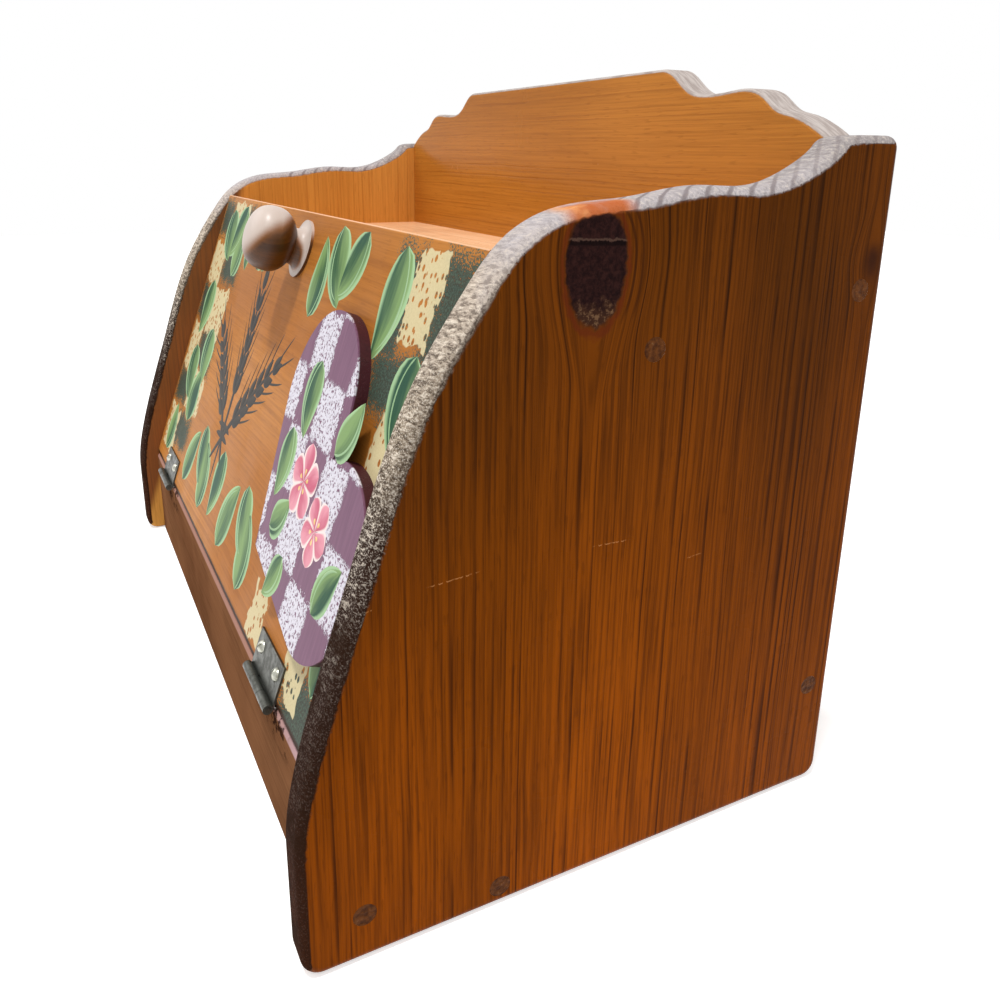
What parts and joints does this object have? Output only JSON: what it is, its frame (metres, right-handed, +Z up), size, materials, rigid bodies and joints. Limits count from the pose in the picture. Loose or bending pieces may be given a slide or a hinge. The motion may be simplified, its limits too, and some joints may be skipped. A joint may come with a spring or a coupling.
{
  "type": "bread box",
  "caption": "wooden bread box with scrolled sides and crest, a fixed shelf top and a painted drop-front door with a heart and a round knob",
  "frame": {"origin": "middle of the footprint, on the surface that the box stands on", "axes": "+Z up, the door faces -Y, +X along the width to the right seen from the front"},
  "size_m": [0.457, 0.25, 0.324],
  "materials": {
    "side_wood": "glossy orange-brown varnish over pine, edges rough and grey",
    "back_wood": "satin orange varnish over pine",
    "shelf_wood": "glossy orange varnish over pine",
    "rail_wood": "satin brown varnish over pine",
    "painted_door": "orange-tan pine with a painted border and ornament, varnished",
    "painted_heart": "painted plum and white check, varnished",
    "knob_wood": "glossy dark brown varnish",
    "hinge_steel": "dull zinc plate",
    "pin_steel": "tarnished steel",
    "screw_steel": "worn zinc plate",
    "nail_steel": "bright wire",
    "wood_filler": "matt brown filler under the varnish"
  },
  "bodies": {
    "carcass": {"left_side": "side_wood", "right_side": "side_wood", "back_board": "back_wood", "top_board": "shelf_wood", "bottom_board": "shelf_wood", "front_rail": "rail_wood", "left_hinge_rail_leaf": "hinge_steel", "left_hinge_pin": "pin_steel", "left_hinge_rail_screw_1": "screw_steel", "left_hinge_rail_screw_2": "screw_steel", "left_nail_rail": "nail_steel", "left_nail_bottom": "nail_steel", "left_nail_top": "nail_steel", "left_nail_back_low": "nail_steel", "left_nail_back_high": "nail_steel", "left_plug_rail": "wood_filler", "left_plug_bottom": "wood_filler", "left_plug_top": "wood_filler", "left_plug_back_low": "wood_filler", "left_plug_back_high": "wood_filler", "right_hinge_rail_leaf": "hinge_steel", "right_hinge_pin": "pin_steel", "right_hinge_rail_screw_1": "screw_steel", "right_hinge_rail_screw_2": "screw_steel", "right_nail_rail": "nail_steel", "right_nail_bottom": "nail_steel", "right_nail_top": "nail_steel", "right_nail_back_low": "nail_steel", "right_nail_back_high": "nail_steel", "right_plug_rail": "wood_filler", "right_plug_bottom": "wood_filler", "right_plug_top": "wood_filler", "right_plug_back_low": "wood_filler", "right_plug_back_high": "wood_filler"},
    "door": {"door_panel": "painted_door", "heart_applique": "painted_heart", "knob": "knob_wood", "knob_screw": "screw_steel", "left_hinge_door_leaf": "hinge_steel", "left_hinge_door_screw_1": "screw_steel", "left_hinge_door_screw_2": "screw_steel", "right_hinge_door_leaf": "hinge_steel", "right_hinge_door_screw_1": "screw_steel", "right_hinge_door_screw_2": "screw_steel"}
  },
  "joints": [
    {"name": "door_hinge", "type": "hinge", "parent": "carcass", "child": "door", "pos_m": [0, -0.11557, 0.062], "axis": [1, 0, 0], "range_deg": [0, 118]}
  ]
}
